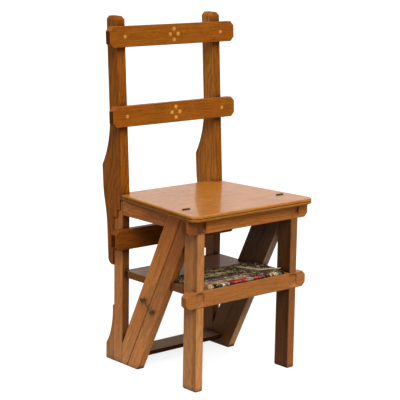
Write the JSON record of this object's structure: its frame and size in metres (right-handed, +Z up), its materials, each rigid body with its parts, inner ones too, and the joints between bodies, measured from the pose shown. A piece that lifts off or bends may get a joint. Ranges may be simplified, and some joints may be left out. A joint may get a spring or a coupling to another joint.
{
  "type": "library step chair",
  "caption": "Oak chair whose back and main seat turn over forwards on a seat hinge, so that the undersides of its boards become a short flight of library steps.",
  "frame": {"origin": "centre of the overall box, on the floor under the chair", "axes": "+Z up, +Y towards the back of the chair, +X towards the sitter's left; the chair faces -Y"},
  "size_m": [0.412, 0.405, 0.9],
  "materials": {
    "oak": "varnished, worn satin",
    "seat_oak": "polished, glossy",
    "pale_inlay": "varnished, satin",
    "carpet": "short woven pile, patterned",
    "hinge_brass": "aged, dull",
    "screw_steel": "aged",
    "hook_metal": "aged, dark"
  },
  "bodies": {
    "front_frame": {"front_leg_left": "oak", "front_leg_right": "oak", "front_diagonal_left": "oak", "front_diagonal_right": "oak", "apron": "oak", "middle_front_rail": "oak", "front_seat_strip": "seat_oak", "front_tread": "oak", "carpet": "carpet", "hinge_front_leaf_left": "hinge_brass", "hinge_front_leaf_right": "hinge_brass", "hinge_pins": "screw_steel", "hook_pivots": "hook_metal"},
    "back_frame": {"back_post_left": "oak", "back_post_right": "oak", "rear_leg_left": "oak", "rear_leg_right": "oak", "foot_block_left": "oak", "foot_block_right": "oak", "rear_diagonal_left": "oak", "rear_diagonal_right": "oak", "seat_side_rail_left": "oak", "seat_side_rail_right": "oak", "top_back_rail": "oak", "middle_back_rail": "oak", "lower_back_rail": "oak", "main_seat_board": "seat_oak", "rear_shelf": "oak", "bottom_tread": "oak", "rail_pegs": "pale_inlay", "inlay_dots": "pale_inlay", "hinge_rear_leaf_left": "hinge_brass", "hinge_rear_leaf_right": "hinge_brass", "hook_eyes": "hook_metal"},
    "latch_hook_left": {"latch_hook_left": "hook_metal"},
    "latch_hook_right": {"latch_hook_right": "hook_metal"}
  },
  "joints": [
    {"name": "fold_over", "type": "hinge", "parent": "front_frame", "child": "back_frame", "pos_m": [0, -0.1185, 0.45], "axis": [1, 0, 0], "range_deg": [0, 180]},
    {"name": "latch_hook_left_swing", "type": "hinge", "parent": "front_frame", "child": "latch_hook_left", "pos_m": [-0.1745, -0.00867, 0.16736], "axis": [1, 0, 0], "range_deg": [0, 215]},
    {"name": "latch_hook_right_swing", "type": "hinge", "parent": "front_frame", "child": "latch_hook_right", "pos_m": [0.1745, -0.00867, 0.16736], "axis": [1, 0, 0], "range_deg": [0, 215]}
  ]
}
